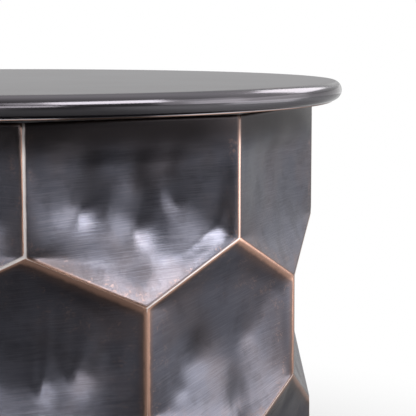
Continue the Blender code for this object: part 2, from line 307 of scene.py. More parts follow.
world = bpy.data.worlds.new("studio")
bpy.context.scene.world = world
studio = Finish(world)
sky = studio.node("TexCoord", {}, {}, "Generated")
facing = studio.along(sky, BEHIND)
rise = studio.parts(sky)[2]
cove = rise.step(*COVE_RISE) * HIGH_LEVEL + BACK_LEVEL - ROOM_LEVEL
surround = facing.step(*ROOM_TO_COVE) * cove + ROOM_LEVEL
surround = surround + rise.step(*CEILING_RISE) * CEILING_LEVEL
by_camera, by_mirror = studio.ray_kinds()
shown = by_mirror * (1.0 - WORLD_SHARE) + WORLD_SHARE
background = world.node_tree.nodes["Background"]
studio.feed(background.inputs["Strength"], by_camera.at_least(surround * shown))
background.inputs["Color"].default_value = grey(1.0)
bpy.context.scene.view_settings.view_transform = "Standard"
print("surround:", len(world.node_tree.nodes), "nodes")

# %% [markdown]
# ## Floor
#
# The floor is a plain sheet a hair below the glides. It is stage, not part of the table.

# %% Floor sheet
FLOOR_HALF = 6.0
FLOOR_DROP = 0.0002

floor_mesh = bpy.data.meshes.new("studio_floor")
floor_signs = ((-1, -1), (1, -1), (1, 1), (-1, 1))
floor_corners = [(x * FLOOR_HALF, y * FLOOR_HALF, -FLOOR_DROP) for x, y in floor_signs]
floor_mesh.from_pydata(floor_corners, [], [(0, 1, 2, 3)])
studio_floor = bpy.data.objects.new("studio_floor", floor_mesh)
bpy.context.scene.collection.objects.link(studio_floor)
print("floor:", 2 * FLOOR_HALF, "m square")

# %% [markdown]
# The camera sees the floor white, with the table's shadow left in it. The lower facets mirror it, and in
# the photograph they are darkest straight ahead, where a floor runs into the dim room, so its own tone is
# dark in a strip in front of the table and paler to both sides. Behind the table it runs into the white
# cove.

# %% Floor finish
ACROSS_FRONT = towards(CAMERA_TURN + math.radians(108))
COVE = towards(CAMERA_TURN + math.radians(140))
NEAR_FRONT, NEAR_SIDE = grey(0.15), grey(0.42)
FAR_FRONT, FAR_SIDE = grey(0.05), grey(0.37)
STRIP_EDGE = (0.15, 0.60)
NEAR_TO_FAR = (0.8, 1.6)
FLOOR_TO_COVE = (0.7, 1.9)
SHADOW_EDGE = (0.35, 0.80)
SHADOWED_WHITE = 0.6

pale = new_finish("pale_floor", {"Roughness": 0.9})
spot = pale.place()
away = pale.node("VectorMath", {"operation": "LENGTH"}, {0: spot}, "Value")
across = pale.along(spot, ACROSS_FRONT)
aside = across.at_least(across * -1.0).step(*STRIP_EDGE)
near = pale.blend(aside, NEAR_FRONT, NEAR_SIDE)
far = pale.blend(aside, FAR_FRONT, FAR_SIDE)
tone = pale.blend(away.step(*NEAR_TO_FAR), near, far)
pale.feed(pale.shader.inputs["Base Color"], tone)
back = pale.along(spot, COVE).step(*FLOOR_TO_COVE)
by_camera, by_mirror = pale.ray_kinds()
clear = away.step(*SHADOW_EDGE) * (1.0 - SHADOWED_WHITE) + SHADOWED_WHITE
white = by_camera.at_least(by_mirror * back) * clear
glow = pale.node("Emission", {}, {"Color": grey(1.0), "Strength": 1.0})
surface = pale.node("MixShader", {}, {0: white, 1: Signal(pale, pale.shader.outputs[0]), 2: glow})
pale.feed(pale.tree.nodes["Material Output"].inputs["Surface"], surface)
floor_mesh.materials.append(pale.owner)
print("floor finish:", len(pale.tree.nodes), "nodes")

# %% [markdown]
# ## The sizes of the honeycomb wall
#
# The wall is ten facets around in three rows, each row half a facet out of step with the next. All ridge
# corners lie on one cylinder, so each facet is upright in the middle and leans out to its upper and lower
# points. Its outline follows from the rings of corners, and the heights of the wall come from the packed
# model.

# %% Wall sizes
DRUM_RADIUS = 0.351
FACETS_AROUND = 10
MIDDLE_EDGE = 0.098
SLANT_RISE = 0.0515
WALL_BOTTOM, WALL_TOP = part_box("lower_panel_01")[0].z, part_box("upper_panel_01")[1].z

HALF_TURN = math.pi / FACETS_AROUND
APOTHEM = DRUM_RADIUS * math.cos(HALF_TURN)
HALF_WIDTH = DRUM_RADIUS * math.sin(HALF_TURN)
LEAN = (DRUM_RADIUS - APOTHEM) / SLANT_RISE
MIDDLE = (WALL_BOTTOM + WALL_TOP) / 2
RING_B = MIDDLE + MIDDLE_EDGE / 2
RING_C = MIDDLE - MIDDLE_EDGE / 2
RING_A = RING_B + SLANT_RISE
RING_D = RING_C - SLANT_RISE
ring_heights = [round(z, 4) for z in (RING_A, RING_B, RING_C, RING_D)]
print("wall from", round(WALL_BOTTOM, 4), "to", round(WALL_TOP, 4), "rings of corners", ring_heights)

# %% [markdown]
# A row is told by the outline of its facet and by its folds: a fold is the height where the face starts
# to lean out, and the side of it that leans. Each side of the outline also has its wear, how wide copper
# and brown show along it, and its shine, how wide its polished crest is, in the order of the corners that
# the sides start from.

# %% Rows of facets
ROWS = {
    "upper": {
        "corners": [
            (-HALF_WIDTH, WALL_TOP), (-HALF_WIDTH, RING_A), (0, RING_B), (HALF_WIDTH, RING_A),
            (HALF_WIDTH, WALL_TOP)],
        "folds": [(RING_A, -1)],
        "wear": (0.5, 0.6, 0.35, 0.7, 0.0),
        "shine": (1.1, 0.0, 0.45, 0.10, 0.0),
        "first_turn": 0.0},
    "middle": {
        "corners": [
            (-HALF_WIDTH, RING_B), (-HALF_WIDTH, RING_C), (0, RING_D), (HALF_WIDTH, RING_C),
            (HALF_WIDTH, RING_B), (0, RING_A)],
        "folds": [(RING_B, 1), (RING_C, -1)],
        "wear": (1.5, 0.3, 0.4, 1.5, 2.2, 1.1),
        "shine": (0.0, 0.0, 0.25, 0.0, 0.0, 0.25),
        "first_turn": HALF_TURN},
    "lower": {
        "corners": [
            (HALF_WIDTH, WALL_BOTTOM), (HALF_WIDTH, RING_D), (0, RING_C), (-HALF_WIDTH, RING_D),
            (-HALF_WIDTH, WALL_BOTTOM)],
        "folds": [(RING_D, 1)],
        "wear": (1.0, 2.0, 2.0, 1.0, 0.0),
        "shine": (1.0, 0.0, 0.4, 1.0, 0.0),
        "first_turn": 0.0},
}
NEIGHBOURS = {
    "upper": ("upper", "middle"),
    "middle": ("upper", "middle", "lower"),
    "lower": ("middle", "lower"),
}
print("corners of a facet:", {row: len(shape["corners"]) for row, shape in ROWS.items()})

# %% [markdown]
# ## Facets and soft ridges
#
# On the real table the facets are welded edge to edge and the ridges are ground round. A facet could be
# cut from a mesh and beveled, but a formula keeps the ridges of neighbours together: the wall's radius at
# any place is the least of the facets around it, taken with a soft minimum, which rounds the ridge.

# %% Facet formulas
RIDGE_BLEND = 0.0024
NO_SOFTNESS = 1e-9


def soft_ramp(x, softness):
    """Zero below 0 and x above it, with the corner rounded by a parabola as wide as the softness."""
    wide = np.maximum(softness, NO_SOFTNESS)
    eased = (x + wide / 2) ** 2 / (2 * wide)
    return np.where(x <= -wide / 2, 0.0, np.where(x >= wide / 2, x, eased))


def soft_least(a, b, reach):
    """The lesser of two values, lowered by a parabola where they differ by less than the reach."""
    near = np.clip(1 - np.abs(a - b) / reach, 0, 1)
    return np.minimum(a, b) - reach / 4 * near ** 2


def smooth_step(x):
    """0 below 0, 1 above 1, and a smooth S between."""
    x = np.clip(x, 0, 1)
    return x * x * (3 - 2 * x)


def leaning_out(row, height, softness):
    """How far a facet's face stands outside its flat middle: its lean times the height past each fold."""
    return LEAN * sum(soft_ramp(side * (height - fold), softness) for fold, side in ROWS[row]["folds"])


def neighbour_radius(row, turn, height):
    """Soft least radius of the facets that touch this one, at a turn from its middle."""
    turns = {"same": (-2 * HALF_TURN, 2 * HALF_TURN), "other": (-HALF_TURN, HALF_TURN)}
    least = None
    for other in NEIGHBOURS[row]:
        face = APOTHEM + leaning_out(other, height, 0.0)
        for away in turns["same" if other == row else "other"]:
            radius = face / np.cos(turn - away)
            least = radius if least is None else soft_least(least, radius, RIDGE_BLEND)
    return least


print("facets lean out by", round(math.degrees(math.atan(LEAN)), 1), "degrees past their folds")

# %% [markdown]
# ## Hammer marks and painted shade
#
# The facets were dished and planished with a hammer, which leaves long shallow hollows. Over the upper
# end of each hollow a dark patch is painted into the colour as painted shade. A bump map would shade the
# marks, but they also bend the light and show in a grazing view, so they are real shape here. The facets
# that face the photograph's camera have their marks and their painted shade where the photograph shows
# them, with depths and tilts set until the highlights agreed.

# %% Marks and painted shade that the photograph shows
# Across, height above the facet's middle, half width, reach up, reach down, depth, tilt
SHOWN_MARKS = {
    "upper_panel_08": [
        (0.094, 0.001, 0.0200, 0.030, 0.0140, 0.0024, 0.00),
        (0.090, 0.055, 0.0120, 0.020, 0.0160, 0.0016, 0.00)],
    "upper_panel_09": [
        (-0.044, 0.018, 0.0150, 0.050, 0.0280, 0.0022, -0.05),
        (-0.057, 0.003, 0.0130, 0.014, 0.0110, 0.0033, -0.50),
        (0.012, 0.008, 0.0140, 0.056, 0.0400, 0.0026, -0.05),
        (-0.003, -0.019, 0.0140, 0.016, 0.0120, 0.0036, -0.50),
        (0.047, 0.030, 0.0130, 0.044, 0.0240, 0.0016, -0.10),
        (0.042, 0.002, 0.0060, 0.010, 0.0060, 0.0011, -0.50),
        (0.082, -0.020, 0.0300, 0.024, 0.0160, 0.0038, -0.70)],
    "upper_panel_10": [
        (-0.060, 0.030, 0.0140, 0.030, 0.0200, 0.0005, 0.10),
        (-0.020, 0.010, 0.0120, 0.030, 0.0200, 0.0005, -0.10),
        (0.030, 0.030, 0.0140, 0.026, 0.0200, 0.0004, 0.20),
        (0.020, -0.020, 0.0120, 0.028, 0.0200, 0.0005, 0.10)],
    "middle_panel_08": [
        (0.019, 0.001, 0.0068, 0.110, 0.0150, 0.0027, 0.00),
        (0.052, 0.012, 0.0110, 0.110, 0.0190, 0.0040, 0.00),
        (0.087, -0.007, 0.0120, 0.024, 0.0200, 0.0008, -0.10),
        (-0.040, 0.000, 0.0130, 0.024, 0.0140, 0.0010, 0.20)],
    "middle_panel_09": [
        (0.045, 0.006, 0.0100, 0.016, 0.0100, 0.0012, 0.50),
        (0.019, -0.064, 0.0100, 0.026, 0.0100, 0.0034, 0.10),
        (-0.036, -0.012, 0.0100, 0.015, 0.0080, 0.0012, 0.30),
        (-0.062, -0.034, 0.0060, 0.009, 0.0050, 0.0010, -0.50),
        (0.075, 0.022, 0.0550, 0.030, 0.0300, 0.0022, 0.60)],
}
# Across, height above the facet's middle, half width, half height, share of painted shade
SHOWN_SHADE_PATCHES = {
    "upper_panel_09": [
        (-0.043, 0.040, 0.0090, 0.0220, 0.62),
        (0.008, 0.032, 0.0090, 0.0220, 0.78),
        (0.043, 0.044, 0.0070, 0.0240, 0.52),
        (-0.086, -0.048, 0.0280, 0.0150, 0.86)],
    "middle_panel_09": [
        (-0.034, 0.010, 0.0120, 0.0120, 0.45),
        (0.024, -0.046, 0.0150, 0.0200, 0.60)],
}
print("marks set by hand:", {node: len(marks) for node, marks in SHOWN_MARKS.items()})

# %% [markdown]
# The other facets get marks of the same sizes, drawn at random from a fixed seed, with painted shade
# above each.

# %% Random marks
MARK_SEED = 41
SEEDS_PER_ROW = 100
MARKS_PER_FACET = {"upper": 11, "middle": 14, "lower": 11}
MARK_DEPTH = (0.0006, 0.0015)
MARK_WIDTH = (0.008, 0.013)
MARK_STRETCH = (1.3, 2.6)
MARK_TILT = 0.25
# share of painted shade above each random mark
MARK_SHADE = 0.5


def random_marks(row, rng):
    """Marks over a facet: even draws of place, width, length and depth, and small tilts about upright."""
    count = MARKS_PER_FACET[row]
    width = rng.uniform(*MARK_WIDTH, count)
    heights = np.array(ROWS[row]["corners"])[:, 1]
    reach = (heights.max() - heights.min()) / 2
    return np.stack([
        rng.uniform(-HALF_WIDTH, HALF_WIDTH, count), rng.uniform(-reach, reach, count), width,
        width * rng.uniform(*MARK_STRETCH, count), width, rng.uniform(*MARK_DEPTH, count),
        rng.normal(0.0, MARK_TILT, count)], axis=1)


def shade_over_marks(marks):
    """Painted shade above each mark, as wide as the mark and as long as its reach upwards."""
    across, height, half_width, up = marks[:, :4].T
    return np.stack([across, height + up, half_width, up, np.full(len(marks), MARK_SHADE)], axis=1)


print("random marks on a facet:", MARKS_PER_FACET)

# %% [markdown]
# A mark is a bell curve across its length, and along it one whose reach upwards differs from its reach
# downwards, because a hammer that lands at a slant leaves one end steep. Slow swells lie under the marks,
# and the painted shade is a plain bell curve.

# %% Mark formulas
SWELL_DEPTH = 0.0007
SWELL_LENGTH = 0.085
SWELL_WAVES = 4


def shade_cover(across, height, shade_patches):
    """Share of painted shade: for each dark patch an upright bell curve."""
    cover = np.zeros_like(across)
    for x, z, half_width, half_height, share in shade_patches:
        squares = ((across - x) / half_width) ** 2 + ((height - z) / half_height) ** 2
        cover += share * np.exp(-squares / 2)
    return cover


def mark_depth(across, height, marks):
    """Depth of the marks: bell curves, whose reach upwards passes smoothly into their reach downwards."""
    depth = np.zeros_like(across)
    for x, z, half_width, up, down, deep, tilt in marks:
        along = (height - z) * math.cos(tilt) + (across - x) * math.sin(tilt)
        aside = (across - x) * math.cos(tilt) - (height - z) * math.sin(tilt)
        along = along / ((up + down) / 2 + (up - down) / 2 * np.tanh(along / down))
        depth += deep * np.exp(-((aside / half_width) ** 2 + along ** 2) / 2)
    return depth


def swell_depth(across, height, rng):
    """Depth of slow swells: crossed waves of one length, with random phases and headings."""
    depth = np.zeros_like(across)
    phases = rng.uniform(0, 2 * math.pi, SWELL_WAVES)
    headings = rng.uniform(0, math.pi, SWELL_WAVES)
    for phase, heading in zip(phases, headings):
        wave = (across * math.cos(heading) + height * math.sin(heading)) * 2 * math.pi / SWELL_LENGTH
        depth += SWELL_DEPTH / SWELL_WAVES * np.sin(wave + phase)
    return depth


print("swells:", SWELL_WAVES, "waves of", SWELL_LENGTH, "m")

# %% [markdown]
# ## Outer face of a panel
#
# A beaten panel is a smooth dish between soft ridges. It could be a flat grid pushed in by a sculpt
# brush, but the ridges need points just where they turn. So the face is rings of points, scaled copies of
# its outline from the middle to the rim, which crowd together at the rim. Every point also carries what
# the finish reads: its place on the facet, its distances from the worn and from the polished ridges, and
# its share of painted shade.

# %% Panel outline
STEPS_PER_SIDE = 24
OPEN_RINGS = 38
RIM_RINGS = 18
RIM_SHARE = 0.10
RINGS = 1 - np.concatenate([
    np.linspace(1, RIM_SHARE, OPEN_RINGS), np.linspace(RIM_SHARE, 0.0, RIM_RINGS)[1:]])


def split_sides(corners):
    """Points along an outline, the same number on each side."""
    ends = np.roll(corners, -1, axis=0)
    share = np.arange(STEPS_PER_SIDE)[:, None] / STEPS_PER_SIDE
    return (corners[:, None] * (1 - share) + ends[:, None] * share).reshape(-1, 2)


def side_distances(points, corners):
    """Distance of points from each side of a convex outline, as a last axis."""
    ends = np.roll(corners, -1, axis=0)
    along = (ends - corners) / np.linalg.norm(ends - corners, axis=1)[:, None]
    inwards = np.stack([-along[:, 1], along[:, 0]], axis=1)
    return ((points[..., None, :] - corners) * inwards).sum(-1)


print("rings on a face:", len(RINGS), "of", STEPS_PER_SIDE, "points on each side")

# %% [markdown]
# How far out the face stands is a sum of simple parts: the flat middle, the lean past the folds, the
# dish, the marks and the swells. The dish stays clear of the hoops inside the mouth and the foot, and the
# sheet flares and rolls over there.

# %% Panel face
FOLD_SOFTNESS = 0.150
RIM_REACH = 0.110
DISH_DEPTH = 0.0072
HOOP_MARGIN = 0.021
FLARE = 0.0034
FLARE_LENGTH = 0.030
MARK_FADE = (0.005, 0.022)
ROLLED_EDGE = 0.0035
ROLL_DROP = 0.0014
LEAST_WEAR = 0.01
# the fifth value of a point is its share of painted shade above the marks
ACROSS, ABOVE, WORN, SHINE, SHADED = range(5)


def panel_points(row, marks, shade_patches, rng):
    """Outer face of a panel: turn from the middle, radius, height and place of every point on its rings.

    The face is upright between its folds and leans out past them. The fold is crisp at the rim and softer
    inside, the middle is dished and beaten, and the soft least with the neighbours rounds the ridges.
    """
    corners = np.array(ROWS[row]["corners"], dtype=float)
    outline = split_sides(corners)
    centre = outline.mean(axis=0)
    place = centre + RINGS[:, None, None] * (outline - centre)
    across, height = place[..., 0], place[..., 1]
    distances = np.maximum(side_distances(place, corners), 0)
    inside = np.tanh(distances / RIM_REACH).prod(-1)
    inside = inside / inside.max()
    turn = np.arctan2(across, APOTHEM + leaning_out(row, height, 0.0))
    free = np.minimum(WALL_TOP - height, height - WALL_BOTTOM)
    dish = DISH_DEPTH * inside * smooth_step((free - HOOP_MARGIN) / HOOP_MARGIN)
    flare = FLARE * np.exp(-free / FLARE_LENGTH) * (1 - (across / HALF_WIDTH) ** 2)
    face = APOTHEM + leaning_out(row, height, FOLD_SOFTNESS * inside) - dish + flare
    fade = smooth_step((distances.min(-1) - MARK_FADE[0]) / (MARK_FADE[1] - MARK_FADE[0]))
    above = height - centre[1]
    # painted shade above the marks, as a share at every point
    mark_shade = shade_cover(across, above, shade_patches)
    face = face - fade * (mark_depth(across, above, marks) + swell_depth(across, above, rng))
    radius = soft_least(face / np.cos(turn), neighbour_radius(row, turn, height), RIDGE_BLEND)
    rolled = 1 - np.clip(free / ROLLED_EDGE, 0, 1)
    radius = radius - ROLL_DROP * (1 - np.sqrt(1 - rolled ** 2))
    worn = (distances / np.maximum(ROWS[row]["wear"], LEAST_WEAR)).min(-1)
    shine = (distances / np.maximum(ROWS[row]["shine"], LEAST_WEAR)).min(-1)
    return turn, radius, height, np.stack([across, above, worn, shine, mark_shade], axis=-1)


print("dish", DISH_DEPTH, "m deep, ridges rounded over", RIDGE_BLEND, "m")

# %% [markdown]
# ## Closed shells
#
# Sheet metal has two sides and an edge. Both the panels and the lid are made as rings of points that run
# out over the outer side and back along the inner one, and end in a point on both. One function joins
# such rings with quads and closes both ends with triangles.

# %% Shells from rings
def ring_faces(count, rows, first):
    """Quads between consecutive rings of points that start at an index."""
    here = first + np.arange(rows - 1)[:, None] * count + np.arange(count)
    following = first + np.arange(rows - 1)[:, None] * count + (np.arange(count) + 1) % count
    return np.stack([here, here + count, following + count, following], axis=-1).reshape(-1, 4)


def shell_values(rings):
    """The values at a shell's points, in order: the first and the last ring count as one point each."""
    between = rings[1:-1].reshape(-1, rings.shape[-1])
    return np.concatenate([[rings[0, 0]], between, [rings[-1, 0]]])


def closed_shell(rings):
    """Points and faces of a shell: fans of triangles at its two ends and quads between."""
    rows, count = rings.shape[:2]
    points = shell_values(rings)
    ring = np.arange(count)
    following = (ring + 1) % count
    last = len(points) - 1
    start = last - count
    first_fan = np.stack([np.zeros_like(ring), 1 + ring, 1 + following], axis=-1)
    last_fan = np.stack([np.full_like(ring, last), start + following, start + ring], axis=-1)
    return points, [first_fan, ring_faces(count, rows - 2, 1), last_fan]


def mesh_piece(name, rings, finish, sharp):
    """New smooth shell at the origin, with edges sharp where faces meet at more than an angle."""
    points, faces = closed_shell(rings)
    mesh = bpy.data.meshes.new(name)
    mesh.from_pydata(points.tolist(), [], [face for group in faces for face in group.tolist()])
    mesh.shade_smooth()
    mesh.set_sharp_from_angle(angle=sharp)
    mesh.materials.append(finish.owner)
    mesh.use_auto_texspace = False
    mesh.texspace_location = (0.0, 0.0, TABLE_HEIGHT / 2)
    mesh.texspace_size = (TABLE_HEIGHT, TABLE_HEIGHT, TABLE_HEIGHT)
    piece = bpy.data.objects.new(name, mesh)
    bpy.context.scene.collection.objects.link(piece)
    return piece


def point_vectors(piece, name, values):
    """Store a vector for every point of a piece."""
    layer = piece.data.attributes.new(name, "FLOAT_VECTOR", "POINT")
    layer.data.foreach_set("vector", np.ascontiguousarray(values, dtype=np.float32).ravel())


print("a shell of 4 rings of 3 points has", len(closed_shell(np.zeros((4, 3, 3)))[0]), "points")

# %% [markdown]
# ## Patina of the wall
#
# The metal is dark, almost black, with a satin brushed skin. The foot of each facet is rubbed a paler
# pink, and is also paler there as painted light where it faces up. Painted shade darkens the facets under
# the lid and above the marks. Where hands and cloths rub, on the ridges, the copper shows: polished on the
# crest, copper beside it and then brown. The colours are laid one over the other in this order: patina,
# brushing, rubbing with painted light at the foot, painted shade, the ridges, and over all a deeper
# painted shade under the lid. The brushing is fine lines along the facet, as a bump and as small changes
# of roughness.

# %% Patina colours
DARK = colour(0.097, 0.099, 0.123)
WARM = colour(0.110, 0.101, 0.115)
BRUSHED = colour(0.190, 0.186, 0.212)
# paler pinkish rub at the foot, which is also painted light where the foot faces up
RUBBED_AND_LIT = colour(0.30, 0.255, 0.270)
BROWN = colour(0.190, 0.120, 0.095)
COPPER = colour(0.52, 0.315, 0.240)
BRIGHT = colour(0.63, 0.590, 0.580)
# dark patina for the random mottling, and also the colour of the painted shade under the lid and above the
# marks
SOOT_AND_SHADE = colour(0.026, 0.024, 0.026)
# deeper painted shade under the lid
DEEP_LID_SHADE = colour(0.030, 0.026, 0.027)

print("patina colours from", SOOT_AND_SHADE[:3], "to", BRIGHT[:3])

# %% [markdown]
# A layer is a colour, a mask and a share. In the pairs below the first number is where a mask starts and
# the second where it is full, in metres. The steps on noises are in the noise's own values, around 0.5.

# %% Patina layers
LINE_SCALES = (26.0, 980.0, 0.0)
CLOUD_SCALE = 14.0
WANDER_SCALE = 90.0
MOTTLE_SCALE = 38.0
SPECK_SCALE = 520.0
FOOT_BELOW = (-0.045, -0.105)
FOOT_WANDER = 0.05
# painted shade under the lid: how far down from the top of the wall it reaches
SHADE_BELOW_TOP = (0.044, 0.008)
# deeper painted shade under the lid, which also darkens the ridges
DEEP_SHADE_BELOW_TOP = (0.034, 0.010)
SCUFFED_NEAR = (0.030, 0.006)
HAZE_NEAR = (0.034, 0.004)
BROWN_NEAR = (0.0065, 0.0012)
COPPER_NEAR = (0.0030, 0.0012)
BRIGHT_NEAR = (0.0019, 0.0006)
EDGE_WANDER = 0.0016
CREST_WANDER = 0.0006
MOTTLE_SHARE = 0.25
LINE_SHARE = 0.34
# share of the paler rub and painted light at the foot
FOOT_RUB_AND_LIGHT_SHARE = 0.25
FOOT_BROWN_SHARE = 0.35
# share of the painted shade under the lid
TOP_SHADE_SHARE = 0.9
SCUFF_SHARE = 0.22
HAZE_SHARE = 0.08
BROWN_SHARE = 0.75
# share of the deeper painted shade under the lid
DEEP_SHADE_SHARE = 0.75
SATIN = 0.23
CREST_DULLING = 0.16
LINE_HEIGHT = 0.00004
PLANISH_HEIGHT = 0.00015


def patina_finish():
    """Dark brushed metal with copper rubbed through on the ridges."""
    finish = new_finish("hammered_patina", {
        "Metallic": 1.0, "Anisotropic": 0.45, "Anisotropic Rotation": 0.25, "Specular Tint": grey(0.62)})
    place = finish.place()
    above, worn, shine = finish.parts(finish.attribute("on_facet"))
    below_top = WALL_TOP - finish.parts(place)[2]
    brushed = finish.attribute("brushed")
    lines = finish.noise(finish.scaled(brushed, LINE_SCALES), 1.0, 3.0, 0.6)
    clouds = finish.noise(place, CLOUD_SCALE, 3.0, 0.55)
    wander = finish.noise(place, WANDER_SCALE, 3.0, 0.6)
    mottle = finish.noise(place, MOTTLE_SCALE, 4.0, 0.6)
    specks = finish.noise(place, SPECK_SCALE, 2.0, 0.6)
    base = finish.blend(clouds.step(0.45, 0.70), DARK, WARM)
    base = finish.blend(mottle.step(0.52, 0.36) * MOTTLE_SHARE, base, SOOT_AND_SHADE)
    base = finish.blend(lines.step(0.36, 0.72) * LINE_SHARE, base, BRUSHED)
    foot = (above + (clouds - 0.5) * FOOT_WANDER).step(*FOOT_BELOW)
    # paler rub at the foot, with painted light where the foot faces up
    base = finish.blend(foot * FOOT_RUB_AND_LIGHT_SHARE, base, RUBBED_AND_LIT)
    base = finish.blend(foot * wander.step(0.47, 0.60) * FOOT_BROWN_SHARE, base, BROWN)
    # painted shade above the hammer marks, read from the third number of the brushed vector
    base = finish.blend(finish.parts(brushed)[2], base, SOOT_AND_SHADE)
    # painted shade under the lid, darkening the top of every facet
    base = finish.blend(below_top.step(*SHADE_BELOW_TOP) * TOP_SHADE_SHARE, base, SOOT_AND_SHADE)
    scuffed = wander.step(0.50, 0.64) * specks.step(0.50, 0.62) * worn.step(*SCUFFED_NEAR)
    base = finish.blend(scuffed * SCUFF_SHARE, base, COPPER)
    base = finish.blend(worn.step(*HAZE_NEAR) * clouds.step(0.30, 0.60) * HAZE_SHARE, base, BROWN)
    edge = worn + (wander - 0.5) * EDGE_WANDER
    base = finish.blend(edge.step(*BROWN_NEAR) * BROWN_SHARE, base, BROWN)
    base = finish.blend(edge.step(*COPPER_NEAR), base, COPPER)
    crest = (shine + (wander - 0.5) * CREST_WANDER).step(*BRIGHT_NEAR)
    base = finish.blend(crest, base, BRIGHT)
    # deeper painted shade under the lid, laid over the copper and the crests as well
    base = finish.blend(below_top.step(*DEEP_SHADE_BELOW_TOP) * DEEP_SHADE_SHARE, base, DEEP_LID_SHADE)
    finish.feed(finish.shader.inputs["Base Color"], base)
    rough = SATIN + (lines - 0.5) * 0.10 + (clouds - 0.5) * 0.06 + crest * CREST_DULLING
    finish.feed(finish.shader.inputs["Roughness"], rough)
    planished = finish.bump(mottle, PLANISH_HEIGHT)
    finish.feed(finish.shader.inputs["Normal"], finish.bump(lines, LINE_HEIGHT, planished))
    return finish


patina = patina_finish()
print("patina:", len(patina.tree.nodes), "nodes")

# %% [markdown]
# ## The wall panels
#
# A panel's outer rings are followed by the same rings, fewer of them, a sheet's thickness further in. It
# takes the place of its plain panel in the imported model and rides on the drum. Each panel is rubbed and
# brushed by hand, so the width of its polished crests and the slant of its brush lines differ a little.

# %% Wall panels
SHEET = 0.0016
INNER_EVERY = 2
PANEL_SHARP = math.radians(50)
RUBBING = (0.4, 1.4)
SHOWN_RUBBING = {
    "upper_panel_08": 3.6, "upper_panel_09": 1.5, "upper_panel_10": 0.3, "middle_panel_08": 1.5,
    "middle_panel_09": 1.3}
BRUSH_SLANT = 0.10
SHOWN_BRUSHING = {"upper_panel_09": 0.03, "middle_panel_08": 0.05, "middle_panel_09": 0.20}
BRUSH_SHIFT = (0.7, 0.9)


def brushed_place(values, slant, number, level):
    """Places along and across the brush lines, shifted so that no two panels match, and painted shade."""
    along = values[:, ACROSS] * math.cos(slant) + values[:, ABOVE] * math.sin(slant)
    beside = values[:, ABOVE] * math.cos(slant) - values[:, ACROSS] * math.sin(slant)
    return np.stack([
        along + number * BRUSH_SHIFT[0], beside + level * BRUSH_SHIFT[1], values[:, SHADED]], axis=-1)


def wall_panel(row, number, finish):
    """One closed panel, as rings out over the face and back along the inside."""
    node = f"{row}_panel_{number + 1:02d}"
    level = list(ROWS).index(row)
    rng = np.random.default_rng(MARK_SEED + SEEDS_PER_ROW * level + number)
    marks = random_marks(row, rng)
    # painted shade over the upper end of each mark
    shade_patches = shade_over_marks(marks)
    if node in SHOWN_MARKS:
        marks = SHOWN_MARKS[node]
        shade_patches = SHOWN_SHADE_PATCHES.get(node, [])
    turn, radius, height, place = panel_points(row, marks, shade_patches, rng)
    place[..., SHINE] /= SHOWN_RUBBING.get(node, rng.uniform(*RUBBING))
    heading = ROWS[row]["first_turn"] + number * 2 * HALF_TURN
    inner = slice(None, None, -INNER_EVERY)
    angles = np.concatenate([turn, turn[inner]]) + heading
    radii = np.concatenate([radius, radius[inner] - SHEET])
    heights = np.concatenate([height, height[inner]])
    rings = np.stack([radii * np.cos(angles), radii * np.sin(angles), heights], axis=-1)
    piece = mesh_piece("hammered_" + node, rings, finish, PANEL_SHARP)
    unworn = place[inner].copy()
    unworn[..., [WORN, SHINE]] = HALF_WIDTH
    values = shell_values(np.concatenate([place, unworn]))
    point_vectors(piece, "on_facet", values[:, [ABOVE, WORN, SHINE]])
    slant = SHOWN_BRUSHING.get(node, rng.normal(0.0, BRUSH_SLANT))
    # the brushed vector also carries the share of painted shade
    point_vectors(piece, "brushed", brushed_place(values, slant, number, level))
    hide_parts(node)
    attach(piece, "drum")
    return piece


panels = [wall_panel(row, number, patina) for row in ROWS for number in range(FACETS_AROUND)]
print("wall panels:", len(panels), "with", sum(len(p.data.polygons) for p in panels), "faces")

# %% [markdown]
# ## Lid
#
# The lid's sheet is spun over a board: flat on top, a half-round edge, and a lip turned in underneath.
# Spinning a profile is the natural way to make it, so the profile is worked out once and carried round
# the axis as rings of one shell.

# %% Lid shape
LID_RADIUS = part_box("lid_skin")[1].x
LID_EDGE = 0.009
SKIN_WALL = 0.0012
LIP_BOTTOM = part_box("lid_skin")[0].z
CORE_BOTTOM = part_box("lid_core")[0].z
LIP_REACH = 0.337
LIP_EASE = 0.0004
LID_STEPS = 256
OUTSIDE_STEPS = 41
INSIDE_STEPS = 13
TOP_SHARES = (0.0, 0.25, 0.5, 0.75, 0.9, 0.97)
LID_SHARP = math.radians(35)


def spun(profile, steps):
    """Rings of points: a profile of radius and height, from the axis out and back, carried round it."""
    angles = 2 * math.pi * np.arange(steps) / steps
    radii, heights = profile[:, :1], profile[:, 1:]
    return np.stack([radii * np.cos(angles), radii * np.sin(angles), heights + 0 * angles], axis=-1)


def half_round(flat_radius, depth, top, bottom, count):
    """Half an ellipse from the top face over the widest point to the underside."""
    angles = np.linspace(math.pi / 2, -math.pi / 2, count)
    return np.stack([flat_radius + depth * np.cos(angles),
                     (top + bottom) / 2 + (top - bottom) / 2 * np.sin(angles)], axis=-1)


def lid_profile():
    """Flat top, half-round edge, lip, and the inner side a wall's thickness away."""
    flat = LID_RADIUS - LID_EDGE
    inner_top = TABLE_HEIGHT - SKIN_WALL
    outside = half_round(flat, LID_EDGE, TABLE_HEIGHT, CORE_BOTTOM, OUTSIDE_STEPS)
    inside = half_round(flat, LID_EDGE - SKIN_WALL, inner_top, CORE_BOTTOM + SKIN_WALL, INSIDE_STEPS)[::-1]
    face = [(flat * share, TABLE_HEIGHT) for share in TOP_SHARES]
    lip = [
        (flat, LIP_BOTTOM + LIP_EASE), (flat - LIP_EASE, LIP_BOTTOM), (LIP_REACH, LIP_BOTTOM),
        (LIP_REACH, LIP_BOTTOM + SKIN_WALL), (flat - SKIN_WALL, LIP_BOTTOM + SKIN_WALL)]
    under = [(flat * 0.5, inner_top), (0.0, inner_top)]
    return np.concatenate([face, outside, lip, inside, under])


